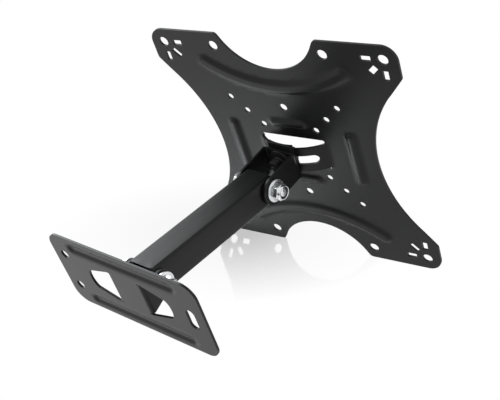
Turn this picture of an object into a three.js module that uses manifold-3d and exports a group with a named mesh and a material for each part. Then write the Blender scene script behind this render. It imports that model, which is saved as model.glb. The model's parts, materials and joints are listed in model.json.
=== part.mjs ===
// Single-arm television wall mount, in millimetres.
// The wall plate's back face is the plane y = 0 and the mount reaches towards -Y; +Z is up.
// Both swivel bolts stand along Z. The screen plate tilts on a curved bridge pressed out of its centre.

import * as THREE from "three";
import { mergeVertices } from "three/addons/utils/BufferGeometryUtils.js";
import Module from "manifold-3d";

const wasm = await Module();
wasm.setup();

// Fits and roundness
const GAP = 0.25;
const BOLT_CLEARANCE = 0.3;
const RUNNING_CLEARANCE = 0.08;
const ROUND = 32;

// Rest angles of the joints, in degrees
const WALL_SWIVEL_REST = 8.4;
const TV_SWIVEL_REST = -9.2;
const TILT_REST = -6.5;

// Wall plate
const WALL_PLATE_HEIGHT = 150;
const WALL_PLATE_WIDTH = 71;
const WALL_PLATE_CORNER = 12;
const WALL_SHEET = 2;
const WALL_HOLE_RADIUS = 4;
const WALL_HOLE_Z = 63;
const WALL_SLOT_Z = 61.5;
const WALL_HOLE_X = 16.2;
const WALL_SLOT_LENGTH = 19;
const WALL_RIB_X = 26.5;
const WALL_RIB_HALF_LENGTH = 55;
const WALL_RIB_DEPTH = 1.8;
const WALL_PIVOT_Y = -18;

// Ears lanced out of the wall plate, and the friction washers between them and the tube
const EAR_SHEET = 2;
const WALL_FRICTION_WASHER = 2.2;
const TV_FRICTION_WASHER = 0.6;
const TUBE_SIDE = 25;
const EAR_INNER = TUBE_SIDE / 2 + WALL_FRICTION_WASHER + 2 * GAP;
const EAR_OUTER = EAR_INNER + EAR_SHEET;
const YOKE_INNER = TUBE_SIDE / 2 + TV_FRICTION_WASHER + 2 * GAP;
const YOKE_OUTER = YOKE_INNER + EAR_SHEET;
const EAR_HALF_BASE = 14.6;
const EAR_TIP_RADIUS = 9.5;
const EAR_BEND_INNER = 0.8;
const WINDOW_HALF_BASE = 15;
const WINDOW_HALF_TIP = 9.5;
const WINDOW_TAPER_Z = 37;
const WINDOW_TIP_Z = 42;

// Arm
const ARM_LENGTH = 132;
const TUBE_WALL = 1.8;
const TUBE_CORNER = 2.5;
const TUBE_END_RADIUS = 12.4;
const TUBE_LOBE_HALF = 10.5;
const TUBE_CUT_BACK = 2;
const SLEEVE_RADIUS = 6;
const FRICTION_WASHER_RADIUS = 10;

// Swivel bolts, washers and lock nuts
const BOLT_RADIUS = 4;
const HEX_ACROSS_FLATS = 13;
const HEAD_HEIGHT = 5.3;
const NUT_HEX_HEIGHT = 5.5;
const NUT_COLLAR_RADIUS = 6;
const NUT_COLLAR_HEIGHT = 2.5;
const NUT_RING_RADIUS = 5.2;
const NUT_RING_HEIGHT = 1.4;
const WASHER_RADIUS = 9.6;
const WASHER = 1.6;

// Yoke, measured from the tilt axis towards the wall
const PIVOT_FROM_TILT_AXIS = 83;
const YOKE_WEB_START = 50;
const YOKE_SHEET = 2;
const YOKE_HALF_HEIGHT = 12.5;
const YOKE_CHAMFER = 1;

// Curved bridge, saddle and tilt bolt
const BRIDGE_OUTER_RADIUS = 47.5;
const PLATE_FROM_TILT_AXIS = 36;
const SCREEN_SHEET = 2;
const BRIDGE_HALF_WIDTH = 12;
const SLIT_HALF_WIDTH = 15.5;
const SLIT_HALF_LENGTH = 30;
const TILT_SLOT_HALF_LENGTH = 24;
const TILT_SLOT_RADIUS = 4.4;
const SADDLE_HALF_HEIGHT = 12.3;
const SADDLE_HALF_WIDTH = 17;
const SADDLE_OUTER = YOKE_WEB_START - GAP;
const CLAMP_SHEET = 2;
const CLAMP_HALF_HEIGHT = 10;
const TILT_BOLT_RADIUS = 4;
const TILT_HEAD_RADIUS = 9;
const TILT_HEAD_HEIGHT = 4;
const TILT_WASHER_RADIUS = 12;
const TILT_WASHER = 1.6;
const SPRING_WASHER_RADIUS = 7.2;
const SPRING_WASHER = 2;
const TILT_NUT_ACROSS_FLATS = 13;
const TILT_NUT_HEIGHT = 6.5;

// Screen plate
const SCREEN_HALF = 112;
const SCREEN_CORNER = 13;
const SIDE_NOTCH_DEPTH_AT = 75;
const SIDE_NOTCH_RADIUS = 107;
const SIDE_NOTCH_SHOULDER = 84;
const SIDE_NOTCH_START = 70;
const END_NOTCH_RADIUS = 47;
const END_NOTCH_CENTRE = 128.5;
const LARGE_HOLE_RADIUS = 4.35;
const SMALL_HOLE_RADIUS = 2.85;
const MIDDLE_HOLE_RADIUS = 3.5;
const MIDDLE_HOLE_X = 45;
const RECTANGLE_HALF_LENGTH = 4.25;
const RECTANGLE_HALF_WIDTH = 2.35;
const SCREEN_RIB_HEIGHT = 2.2;
const CRESCENT_RADIUS = 117;
const CRESCENT_CENTRE = 182;
const CRESCENT_HALF_CHORD = 64;
const LONG_RIB_Z = 56;
const SHORT_RIB_X = 29;

const STEEL = new THREE.Color(0.05, 0.053, 0.055);
const MATERIALS = {
  coated: new THREE.MeshStandardMaterial({ color: STEEL, roughness: 0.6, metalness: 0.1 }),
  zinc: new THREE.MeshStandardMaterial({ color: 0xb9bec2, roughness: 0.3, metalness: 0.9 }),
  black_oxide: new THREE.MeshStandardMaterial({ color: 0x1a1b1c, roughness: 0.45, metalness: 0.6 }),
  nylon: new THREE.MeshStandardMaterial({ color: 0x1c1c1d, roughness: 0.5, metalness: 0 }),
};

// ---- solids ----

function toSolid(geometry) {
  const plain = geometry.index ? geometry.toNonIndexed() : geometry.clone();
  plain.deleteAttribute("normal");
  plain.deleteAttribute("uv");
  const merged = mergeVertices(plain, 1e-4);
  const mesh = new wasm.Mesh({
    numProp: 3,
    vertProperties: Float32Array.from(merged.attributes.position.array),
    triVerts: Uint32Array.from(merged.index.array),
  });
  return new wasm.Manifold(mesh);
}

function toGeometry(solid) {
  const mesh = solid.getMesh();
  const geometry = new THREE.BufferGeometry();
  geometry.setAttribute("position", new THREE.BufferAttribute(Float32Array.from(mesh.vertProperties), 3));
  geometry.setIndex(new THREE.BufferAttribute(Uint32Array.from(mesh.triVerts), 1));
  geometry.computeVertexNormals();
  return geometry;
}

function extruded(points, depth) {
  const shape = new THREE.Shape(points.map(([x, y]) => new THREE.Vector2(x, y)));
  return new THREE.ExtrudeGeometry(shape, { depth, bevelEnabled: false });
}

// A flat outline given as [x, z] pairs, from y = low to y = high.
function prismAlongY(points, low, high) {
  const geometry = extruded(points.map(([x, z]) => [x, -z]), high - low);
  geometry.rotateX(-Math.PI / 2);
  geometry.translate(0, low, 0);
  return toSolid(geometry);
}

// The same with the outlines in "holes" cut through it.
function sheetAlongY(points, low, high, holes) {
  const cutters = holes.map((hole) => prismAlongY(hole, low - 1, high + 1));
  return prismAlongY(points, low, high).subtract(wasm.Manifold.union(cutters));
}

// A flat outline given as [x, y] pairs, from z = low to z = high.
function prismAlongZ(points, low, high) {
  const geometry = extruded(points, high - low);
  geometry.translate(0, 0, low);
  return toSolid(geometry);
}

// A flat outline given as [y, z] pairs, from x = low to x = high.
function prismAlongX(points, low, high) {
  const geometry = extruded(points, high - low);
  geometry.rotateY(Math.PI / 2);
  geometry.rotateX(Math.PI / 2);
  geometry.translate(low, 0, 0);
  return toSolid(geometry);
}

// A turned ring or rod about Z, from a closed list of [radius, z] pairs.
function turned(profile, segments = ROUND) {
  const points = profile.map(([r, z]) => new THREE.Vector2(r, z));
  points.push(points[0].clone());
  const geometry = new THREE.LatheGeometry(points, segments);
  geometry.rotateX(Math.PI / 2);
  return geometry;
}

function ring(inner, outer, low, high) {
  return turned([[inner, low], [outer, low], [outer, high], [inner, high]]);
}

// A hollow that narrows from one outline to a smaller one, or a boss of the same form.
function taperedAlongY(wide, narrow, yWide, yNarrow) {
  const count = wide.length;
  const positions = [];
  for (const [x, z] of wide) {
    positions.push(x, yWide, z);
  }
  for (const [x, z] of narrow) {
    positions.push(x, yNarrow, z);
  }
  const triangles = [];
  for (let i = 0; i < count; i += 1) {
    const next = (i + 1) % count;
    triangles.push(i, next, count + next, i, count + next, count + i);
  }
  const cap = THREE.ShapeUtils.triangulateShape(wide.map(([x, z]) => new THREE.Vector2(x, z)), []);
  for (const [a, b, c] of cap) {
    triangles.push(a, c, b);
    triangles.push(count + a, count + b, count + c);
  }
  const geometry = new THREE.BufferGeometry();
  geometry.setAttribute("position", new THREE.Float32BufferAttribute(positions, 3));
  geometry.setIndex(triangles);
  let solid = toSolid(geometry);
  if (solid.volume() < 0) {
    geometry.setIndex(triangles.slice().reverse());
    solid = toSolid(geometry);
  }
  return solid;
}

// ---- outlines ----

function arc(cx, cy, radius, from, to, steps) {
  const points = [];
  for (let i = 0; i <= steps; i += 1) {
    const angle = from + ((to - from) * i) / steps;
    points.push([cx + radius * Math.cos(angle), cy + radius * Math.sin(angle)]);
  }
  return points;
}

function circle(cx, cy, radius, count = 16) {
  return arc(cx, cy, radius, 0, 2 * Math.PI, count).slice(0, count);
}

function roundedRectangle(halfX, halfY, corner, steps = 6) {
  const points = [];
  for (let k = 0; k < 4; k += 1) {
    const signX = k === 0 || k === 3 ? 1 : -1;
    const signY = k < 2 ? 1 : -1;
    const start = (k * Math.PI) / 2;
    points.push(
      ...arc(signX * (halfX - corner), signY * (halfY - corner), corner, start, start + Math.PI / 2, steps)
    );
  }
  return points;
}

// A straight slot of the given overall half length and radius, along the direction "turn".
function slot(cx, cy, halfLength, radius, turn = 0, steps = 6) {
  const reach = halfLength - radius;
  const end = arc(reach, 0, radius, -Math.PI / 2, Math.PI / 2, steps);
  const start = arc(-reach, 0, radius, Math.PI / 2, (3 * Math.PI) / 2, steps);
  return [...end, ...start].map(([x, y]) => [
    cx + x * Math.cos(turn) - y * Math.sin(turn),
    cy + x * Math.sin(turn) + y * Math.cos(turn),
  ]);
}

// A slot bent along a circle about (0, cy), with round ends.
function curvedSlot(cy, radius, halfWidth, from, to, steps = 14) {
  const outer = arc(0, cy, radius + halfWidth, from, to, steps);
  const inner = arc(0, cy, radius - halfWidth, to, from, steps);
  const cap = (angle, side) => {
    const [cx, y] = [radius * Math.cos(angle), cy + radius * Math.sin(angle)];
    return arc(cx, y, halfWidth, side, side + Math.PI, 6).slice(1, 6);
  };
  return [...outer, ...cap(to, to), ...inner, ...cap(from, from + Math.PI)];
}

// ---- wall plate ----

function windowOutline(side) {
  const tip = 6;
  const points = [[-WINDOW_HALF_BASE, EAR_OUTER - 4], [-WINDOW_HALF_BASE, EAR_OUTER]];
  for (let i = 0; i <= tip; i += 1) {
    const angle = Math.PI * (i / tip);
    const x = -WINDOW_HALF_TIP * Math.cos(angle);
    points.push([x, WINDOW_TAPER_Z + (WINDOW_TIP_Z - WINDOW_TAPER_Z) * Math.sin(angle)]);
  }
  points.push([WINDOW_HALF_BASE, EAR_OUTER], [WINDOW_HALF_BASE, EAR_OUTER - 4]);
  return side > 0 ? points : points.map(([x, z]) => [x, -z]).reverse();
}

// The folded strip between the two ears: [y, z] outline of a channel with rounded bends.
function earChannel() {
  const reach = WALL_PIVOT_Y - EAR_TIP_RADIUS - 1;
  const bendOuter = EAR_BEND_INNER + EAR_SHEET;
  const bendY = -WALL_SHEET - EAR_BEND_INNER;
  const bendZ = EAR_INNER - EAR_BEND_INNER;
  const half = [];
  for (const [c, s] of arc(0, 0, 1, 0, Math.PI / 2, 5)) {
    half.push([bendY + bendOuter * c, bendZ + bendOuter * s]);
  }
  half.push([reach, EAR_OUTER], [reach, EAR_INNER]);
  for (const [c, s] of arc(0, 0, 1, Math.PI / 2, 0, 3)) {
    half.push([bendY + EAR_BEND_INNER * c, bendZ + EAR_BEND_INNER * s]);
  }
  const mirrored = half.map(([y, z]) => [y, -z]).reverse();
  return [...half, ...mirrored];
}

// Side view of an ear as [x, y]: a wide root tapering to a round tip about the bolt.
function earOutline() {
  const spread = Math.PI / 5;
  const tip = arc(0, WALL_PIVOT_Y, EAR_TIP_RADIUS, -Math.PI + spread, -spread, 12);
  const rootY = -WALL_SHEET - EAR_BEND_INNER;
  return [[-EAR_HALF_BASE, 1], [-EAR_HALF_BASE, rootY], ...tip, [EAR_HALF_BASE, rootY], [EAR_HALF_BASE, 1]];
}

function wallPlate() {
  const halfX = WALL_PLATE_WIDTH / 2;
  const halfZ = WALL_PLATE_HEIGHT / 2;
  const holes = [windowOutline(1), windowOutline(-1)];
  for (const side of [-1, 1]) {
    holes.push(circle(side * WALL_HOLE_X, WALL_HOLE_Z, WALL_HOLE_RADIUS, 20));
  }
  holes.push(slot(0, -WALL_SLOT_Z, WALL_SLOT_LENGTH / 2, WALL_HOLE_RADIUS));
  let solid = sheetAlongY(roundedRectangle(halfX, halfZ, WALL_PLATE_CORNER), -WALL_SHEET, 0, holes);
  for (const side of [-1, 1]) {
    const outline = (half, reach) => slot(side * WALL_RIB_X, 0, reach, half, Math.PI / 2, 5);
    const ridge = taperedAlongY(
      outline(6, WALL_RIB_HALF_LENGTH + 1), outline(3.2, WALL_RIB_HALF_LENGTH - 1.8),
      -WALL_SHEET + 0.01, -WALL_SHEET - WALL_RIB_DEPTH
    );
    const groove = taperedAlongY(
      outline(5, WALL_RIB_HALF_LENGTH), outline(2.2, WALL_RIB_HALF_LENGTH - 2.8),
      0.01, -WALL_RIB_DEPTH
    );
    solid = solid.add(ridge).subtract(groove);
  }
  const channel = prismAlongX(earChannel(), -EAR_HALF_BASE, EAR_HALF_BASE);
  const reach = EAR_OUTER + 1;
  const ears = channel.intersect(prismAlongZ(earOutline(), -reach, reach));
  const bore = prismAlongZ(circle(0, WALL_PIVOT_Y, BOLT_RADIUS + BOLT_CLEARANCE, 24), -reach, reach);
  return toGeometry(solid.add(ears).subtract(bore));
}

// ---- arm ----

function armTube() {
  const half = TUBE_SIDE / 2;
  const outer = roundedRectangle(half, half, TUBE_CORNER, 4);
  const inner = roundedRectangle(half - TUBE_WALL, half - TUBE_WALL, TUBE_CORNER - TUBE_WALL + 0.3, 2);
  const reach = TUBE_END_RADIUS + 1;
  let solid = sheetAlongY(outer, -ARM_LENGTH - reach, reach, [inner]);
  const lobe = Math.asin(TUBE_LOBE_HALF / TUBE_END_RADIUS);
  const top = arc(0, 0, TUBE_END_RADIUS, Math.PI / 2 - lobe, Math.PI / 2 + lobe, 12);
  const end = [[half + 1, TUBE_CUT_BACK], [TUBE_LOBE_HALF, TUBE_CUT_BACK], ...top,
    [-TUBE_LOBE_HALF, TUBE_CUT_BACK], [-half - 1, TUBE_CUT_BACK]];
  const otherEnd = end.map(([x, y]) => [-x, -ARM_LENGTH - y]);
  solid = solid.intersect(prismAlongZ([...end, ...otherEnd], -half - 1, half + 1));
  for (const y of [0, -ARM_LENGTH]) {
    solid = solid.subtract(prismAlongZ(circle(0, y, BOLT_RADIUS + BOLT_CLEARANCE, 24), -half - 1, half + 1));
  }
  return toGeometry(solid);
}

function sleeve() {
  const reach = TUBE_SIDE / 2 - TUBE_WALL - GAP;
  return ring(BOLT_RADIUS + RUNNING_CLEARANCE, SLEEVE_RADIUS, -reach, reach);
}

function frictionWasher(side, thickness) {
  const low = TUBE_SIDE / 2 + GAP;
  const geometry = ring(BOLT_RADIUS + BOLT_CLEARANCE, FRICTION_WASHER_RADIUS, low, low + thickness);
  return side > 0 ? geometry : geometry.rotateX(Math.PI);
}

// ---- fasteners on a swivel axis, standing along Z with the head up; "ear" is the ears' outer face ----

function hexagon(acrossFlats) {
  return circle(0, 0, acrossFlats / Math.sqrt(3), 6);
}

// A six-sided block whose far rim is turned off to a chamfer.
function hexBlock(acrossFlats, low, high, chamferedHigh, chamferedLow) {
  const rim = acrossFlats / Math.sqrt(3) + 0.3;
  const cut = 1.1;
  const top = chamferedHigh ? [[rim, high - cut], [acrossFlats / 2 - 0.3, high]] : [[rim, high]];
  const bottom = chamferedLow ? [[acrossFlats / 2 - 0.3, low], [rim, low + cut]] : [[rim, low]];
  const body = toSolid(turned([[0, low], ...bottom, ...top, [0, high]]));
  return prismAlongZ(hexagon(acrossFlats), low, high).intersect(body);
}

function swivelBolt(ear) {
  const seat = ear + GAP + WASHER + GAP;
  const tip = -(seat + NUT_HEX_HEIGHT + NUT_COLLAR_HEIGHT - 0.6);
  const shank = toSolid(turned([[0, tip], [BOLT_RADIUS - 1, tip], [BOLT_RADIUS, tip + 1],
    [BOLT_RADIUS, seat + 0.5], [0, seat + 0.5]], 24));
  return toGeometry(hexBlock(HEX_ACROSS_FLATS, seat, seat + HEAD_HEIGHT, true, false).add(shank));
}

function flatWasher(side, ear) {
  const low = ear + GAP;
  const geometry = ring(BOLT_RADIUS + BOLT_CLEARANCE, WASHER_RADIUS, low, low + WASHER);
  return side > 0 ? geometry : geometry.rotateX(Math.PI);
}

function lockNut(ear) {
  const seat = ear + GAP + WASHER + GAP;
  const hexEnd = seat + NUT_HEX_HEIGHT;
  const end = hexEnd + NUT_COLLAR_HEIGHT;
  const collar = toSolid(turned([[0, hexEnd - 0.5], [NUT_COLLAR_RADIUS, hexEnd - 0.5],
    [NUT_COLLAR_RADIUS, end - 0.8], [NUT_COLLAR_RADIUS - 0.8, end], [0, end]]));
  const bore = BOLT_RADIUS + BOLT_CLEARANCE;
  const groove = end - 0.9 - NUT_RING_HEIGHT - 2 * GAP;
  const hollow = toSolid(turned([[0, seat - 1], [bore, seat - 1], [bore, groove],
    [NUT_RING_RADIUS + GAP, groove], [NUT_RING_RADIUS + GAP, end - 0.9], [NUT_RING_RADIUS - 0.2, end + 1],
    [0, end + 1]]));
  const solid = hexBlock(HEX_ACROSS_FLATS, seat, hexEnd, true, true).add(collar).subtract(hollow);
  return toGeometry(solid).rotateX(Math.PI);
}

function nutRing(ear) {
  const end = ear + GAP + WASHER + GAP + NUT_HEX_HEIGHT + NUT_COLLAR_HEIGHT - 0.9 - GAP;
  return ring(BOLT_RADIUS + BOLT_CLEARANCE, NUT_RING_RADIUS, end - NUT_RING_HEIGHT, end).rotateX(Math.PI);
}

// ---- yoke: the origin is its swivel bolt, and its web lies towards -Y ----

function yoke() {
  const webFar = YOKE_WEB_START - PIVOT_FROM_TILT_AXIS;
  const webNear = webFar + YOKE_SHEET;
  const bend = 2.5;
  const outer = arc(bend, 0, bend, Math.PI, (3 * Math.PI) / 2, 4);
  const half = [[YOKE_HALF_HEIGHT + 1, YOKE_INNER], [YOKE_HALF_HEIGHT + 1, YOKE_OUTER]];
  for (const [y, z] of outer.reverse()) {
    half.push([webFar + y, YOKE_OUTER - bend - z]);
  }
  const lower = half.map(([y, z]) => [y, -z]).reverse();
  const channel = prismAlongX([...half, ...lower, [webNear, -YOKE_INNER], [webNear, YOKE_INNER]],
    -YOKE_HALF_HEIGHT, YOKE_HALF_HEIGHT);
  const h = YOKE_HALF_HEIGHT;
  const outline = [...arc(0, 0, h, 0, Math.PI, 18), [-h, webFar + YOKE_CHAMFER], [-h + YOKE_CHAMFER, webFar],
    [h - YOKE_CHAMFER, webFar], [h, webFar + YOKE_CHAMFER]];
  const reach = YOKE_OUTER + 1;
  const bore = prismAlongZ(circle(0, 0, BOLT_RADIUS + BOLT_CLEARANCE, 24), -reach, reach);
  const webHole = prismAlongY(circle(0, 0, TILT_BOLT_RADIUS + BOLT_CLEARANCE, 24), webFar - 1, webNear + 1);
  const solid = channel.intersect(prismAlongZ(outline, -reach, reach));
  return toGeometry(solid.subtract(bore).subtract(webHole));
}

// ---- tilt clamp: the origin is the tilt axis, and the bolt lies along +Y ----

// A plate that follows the bridge, between two distances from the tilt axis.
function curvedPlate(innerRadius, outerOutline, halfWidth, holeRadius) {
  const inner = arc(0, 0, innerRadius, outerOutline.angle, -outerOutline.angle, 10);
  const solid = prismAlongX([...inner, ...outerOutline.points], -halfWidth, halfWidth);
  const hole = prismAlongY(circle(0, 0, holeRadius, 24), innerRadius - 10, innerRadius + 20);
  return solid.subtract(hole);
}

function saddle() {
  const inner = BRIDGE_OUTER_RADIUS + GAP;
  const angle = Math.asin(SADDLE_HALF_HEIGHT / inner);
  const points = [[SADDLE_OUTER, -SADDLE_HALF_HEIGHT], [SADDLE_OUTER, SADDLE_HALF_HEIGHT]];
  const bore = TILT_BOLT_RADIUS + BOLT_CLEARANCE;
  return toGeometry(curvedPlate(inner, { angle, points }, SADDLE_HALF_WIDTH, bore));
}

function clampWasher() {
  const outer = BRIDGE_OUTER_RADIUS - SCREEN_SHEET - GAP;
  const angle = Math.asin(CLAMP_HALF_HEIGHT / outer);
  const seat = outer * Math.cos(angle) - CLAMP_SHEET;
  const points = arc(0, 0, outer, -angle, angle, 10);
  const outline = [...points, [seat, outer * Math.sin(angle)], [seat, -outer * Math.sin(angle)]];
  const solid = prismAlongX(outline, -BRIDGE_HALF_WIDTH + 1, BRIDGE_HALF_WIDTH - 1);
  const hole = prismAlongY(circle(0, 0, TILT_BOLT_RADIUS + BOLT_CLEARANCE, 24), seat - 5, outer + 5);
  return toGeometry(solid.subtract(hole));
}

function clampSeat() {
  const outer = BRIDGE_OUTER_RADIUS - SCREEN_SHEET - GAP;
  const angle = Math.asin(CLAMP_HALF_HEIGHT / outer);
  return outer * Math.cos(angle) - CLAMP_SHEET - GAP;
}

function tiltStackStart() {
  return YOKE_WEB_START + YOKE_SHEET + GAP;
}

function tiltBolt() {
  const seat = clampSeat();
  const tip = tiltStackStart() + TILT_WASHER + SPRING_WASHER + TILT_NUT_HEIGHT + 2 * GAP + 2.5;
  const low = seat - TILT_HEAD_HEIGHT;
  const geometry = turned([[0, low], [TILT_HEAD_RADIUS - 4, low], [TILT_HEAD_RADIUS - 1, low + 1.4],
    [TILT_HEAD_RADIUS, seat - 0.8], [TILT_HEAD_RADIUS, seat], [TILT_BOLT_RADIUS, seat],
    [TILT_BOLT_RADIUS, tip - 0.8], [TILT_BOLT_RADIUS - 0.8, tip], [0, tip]]);
  return geometry.rotateX(-Math.PI / 2);
}

function tiltFlatWasher() {
  const low = tiltStackStart();
  const bore = TILT_BOLT_RADIUS + BOLT_CLEARANCE;
  return ring(bore, TILT_WASHER_RADIUS, low, low + TILT_WASHER).rotateX(-Math.PI / 2);
}

// A split ring: the gap is a narrow radial cut.
function tiltSpringWasher() {
  const low = tiltStackStart() + TILT_WASHER + GAP;
  const high = low + SPRING_WASHER;
  const whole = toSolid(ring(TILT_BOLT_RADIUS + BOLT_CLEARANCE, SPRING_WASHER_RADIUS, low, high));
  const cut = prismAlongZ([[0, -0.5], [10, -0.5], [10, 0.5], [0, 0.5]], low - 1, high + 1);
  return toGeometry(whole.subtract(cut)).rotateX(-Math.PI / 2);
}

function tiltNut() {
  const low = tiltStackStart() + TILT_WASHER + SPRING_WASHER + 2 * GAP;
  const block = hexBlock(TILT_NUT_ACROSS_FLATS, low, low + TILT_NUT_HEIGHT, true, true);
  const bore = toSolid(turned([[0, low - 1], [TILT_BOLT_RADIUS + BOLT_CLEARANCE, low - 1],
    [TILT_BOLT_RADIUS + BOLT_CLEARANCE, low + 20], [0, low + 20]], 24));
  return toGeometry(block.subtract(bore)).rotateX(-Math.PI / 2);
}

// ---- screen plate: the origin is the tilt axis; [x, z] outlines lie in its plane ----

// One quarter of the outline, from the middle of the +X edge to the middle of the +Z edge.
function screenQuarter() {
  const notchHalf = Math.sqrt(END_NOTCH_RADIUS ** 2 - (END_NOTCH_CENTRE - SCREEN_HALF) ** 2);
  const sweep = Math.acos((END_NOTCH_CENTRE - SCREEN_HALF) / END_NOTCH_RADIUS);
  const points = arc(END_NOTCH_CENTRE, 0, END_NOTCH_RADIUS, Math.PI, Math.PI - sweep + 0.05, 9);
  points.push([SCREEN_HALF - 0.6, notchHalf + 1.2], [SCREEN_HALF, notchHalf + 3.4]);
  const corner = SCREEN_HALF - SCREEN_CORNER;
  points.push(...arc(corner, corner, SCREEN_CORNER, 0, Math.PI / 2, 6));
  points.push([SIDE_NOTCH_SHOULDER + 1.5, SCREEN_HALF], [SIDE_NOTCH_SHOULDER - 1.8, SCREEN_HALF - 1.2]);
  const centre = SIDE_NOTCH_DEPTH_AT + SIDE_NOTCH_RADIUS;
  const from = Math.asin(SIDE_NOTCH_START / SIDE_NOTCH_RADIUS);
  const side = arc(0, centre, SIDE_NOTCH_RADIUS, -Math.PI / 2 + from, -Math.PI / 2, 10);
  return [...points, ...side];
}

function screenOutline() {
  const quarter = screenQuarter();
  const second = quarter.map(([x, z]) => [-x, z]).reverse().slice(1);
  const upper = [...quarter, ...second];
  const lower = upper.map(([x, z]) => [x, -z]).reverse();
  return [...upper, ...lower.slice(1, lower.length - 1)];
}

function rectangularHole(cx, cz, turn) {
  const [a, b] = [RECTANGLE_HALF_LENGTH, RECTANGLE_HALF_WIDTH];
  return [[a, -b], [a, b], [-a, b], [-a, -b]].map(([x, z]) => [
    cx + x * Math.cos(turn) - z * Math.sin(turn),
    cz + x * Math.sin(turn) + z * Math.cos(turn),
  ]);
}

function screenHoles() {
  const holes = [];
  for (const sx of [-1, 1]) {
    for (const sz of [-1, 1]) {
      holes.push(circle(sx * 100, sz * 100, LARGE_HOLE_RADIUS, 16));
      holes.push(circle(sx * 100, sz * 50, LARGE_HOLE_RADIUS, 16));
      for (const at of [50, 37.5, 25]) {
        holes.push(circle(sx * at, sz * at, SMALL_HOLE_RADIUS, 12));
      }
      holes.push(rectangularHole(sx * 100, sz * 86, Math.PI / 2));
      holes.push(rectangularHole(sx * 86, sz * 100, 0));
      holes.push(rectangularHole(sx * 90, sz * 90, (sx * sz * Math.PI) / 4));
    }
  }
  for (const sx of [-1, 1]) {
    holes.push(circle(sx * MIDDLE_HOLE_X, 0, MIDDLE_HOLE_RADIUS, 16));
  }
  holes.push(roundedRectangle(SLIT_HALF_WIDTH, SLIT_HALF_LENGTH, 1.7, 3));
  return holes;
}

// Outline of one raised rib, "grow" wider on every side than its flat top.
function screenRibs(grow) {
  const ribs = [];
  const radius = CRESCENT_RADIUS;
  const spread = Math.asin(CRESCENT_HALF_CHORD / radius);
  for (const side of [-1, 1]) {
    const crescent = curvedSlot(
      -CRESCENT_CENTRE, radius, 3.4 + grow, Math.PI / 2 - spread, Math.PI / 2 + spread, 12
    );
    ribs.push(crescent.map(([z, x]) => (side > 0 ? [-x, z] : [x, -z])));
    ribs.push(slot(0, side * LONG_RIB_Z, 24.2 + grow, 1.6 + grow, 0, 4));
    ribs.push(slot(side * SHORT_RIB_X, 0, 15 + grow, 1.2 + grow, Math.PI / 2, 4));
  }
  return ribs;
}

function bridge() {
  const inner = BRIDGE_OUTER_RADIUS - SCREEN_SHEET;
  const low = PLATE_FROM_TILT_AXIS - SCREEN_SHEET;
  const spread = Math.acos(low / BRIDGE_OUTER_RADIUS);
  const innerSpread = Math.acos(low / inner);
  const outline = [...arc(0, 0, BRIDGE_OUTER_RADIUS, -spread, spread, 20),
    ...arc(0, 0, inner, innerSpread, -innerSpread, 20)];
  return prismAlongX(outline, -BRIDGE_HALF_WIDTH, BRIDGE_HALF_WIDTH);
}

function screenPlate() {
  const face = PLATE_FROM_TILT_AXIS;
  let solid = sheetAlongY(screenOutline(), face - SCREEN_SHEET, face, screenHoles());
  const tops = screenRibs(0);
  const feet = screenRibs(3);
  const hollowTops = screenRibs(-0.8);
  const hollowFeet = screenRibs(2);
  for (let i = 0; i < tops.length; i += 1) {
    const ridge = taperedAlongY(feet[i], tops[i], face - 0.01, face + SCREEN_RIB_HEIGHT);
    const low = face - SCREEN_SHEET;
    const hollow = taperedAlongY(hollowFeet[i], hollowTops[i], low - 0.01, low + SCREEN_RIB_HEIGHT);
    solid = solid.add(ridge).subtract(hollow);
  }
  const slotOutline = slot(0, 0, TILT_SLOT_HALF_LENGTH, TILT_SLOT_RADIUS, Math.PI / 2);
  const slotCut = prismAlongY(slotOutline, face, face + 20);
  return toGeometry(solid.add(bridge().subtract(slotCut)));
}

// ---- assembly ----

function place(group, name, material, geometry) {
  geometry.deleteAttribute("uv");
  const mesh = new THREE.Mesh(geometry, MATERIALS[material]);
  mesh.name = name;
  group.add(mesh);
}

function placeSwivelFasteners(group, prefix, ear) {
  place(group, `${prefix}_bolt`, "zinc", swivelBolt(ear));
  place(group, `${prefix}_head_washer`, "zinc", flatWasher(1, ear));
  place(group, `${prefix}_nut_washer`, "zinc", flatWasher(-1, ear));
  place(group, `${prefix}_lock_nut`, "zinc", lockNut(ear));
  place(group, `${prefix}_nut_ring`, "nylon", nutRing(ear));
}

function armGroup() {
  const arm = new THREE.Group();
  place(arm, "arm_tube", "coated", armTube());
  const ends = [["wall", 0, WALL_FRICTION_WASHER], ["tv", -ARM_LENGTH, TV_FRICTION_WASHER]];
  for (const [name, y, thickness] of ends) {
    place(arm, `${name}_sleeve`, "zinc", sleeve().translate(0, y, 0));
    place(arm, `${name}_friction_upper`, "nylon", frictionWasher(1, thickness).translate(0, y, 0));
    place(arm, `${name}_friction_lower`, "nylon", frictionWasher(-1, thickness).translate(0, y, 0));
  }
  return arm;
}

function clampGroup() {
  const clamp = new THREE.Group();
  place(clamp, "saddle", "coated", saddle());
  place(clamp, "clamp_washer", "black_oxide", clampWasher());
  place(clamp, "tilt_bolt", "black_oxide", tiltBolt());
  place(clamp, "tilt_flat_washer", "black_oxide", tiltFlatWasher());
  place(clamp, "tilt_spring_washer", "black_oxide", tiltSpringWasher());
  place(clamp, "tilt_nut", "black_oxide", tiltNut());
  return clamp;
}

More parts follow.
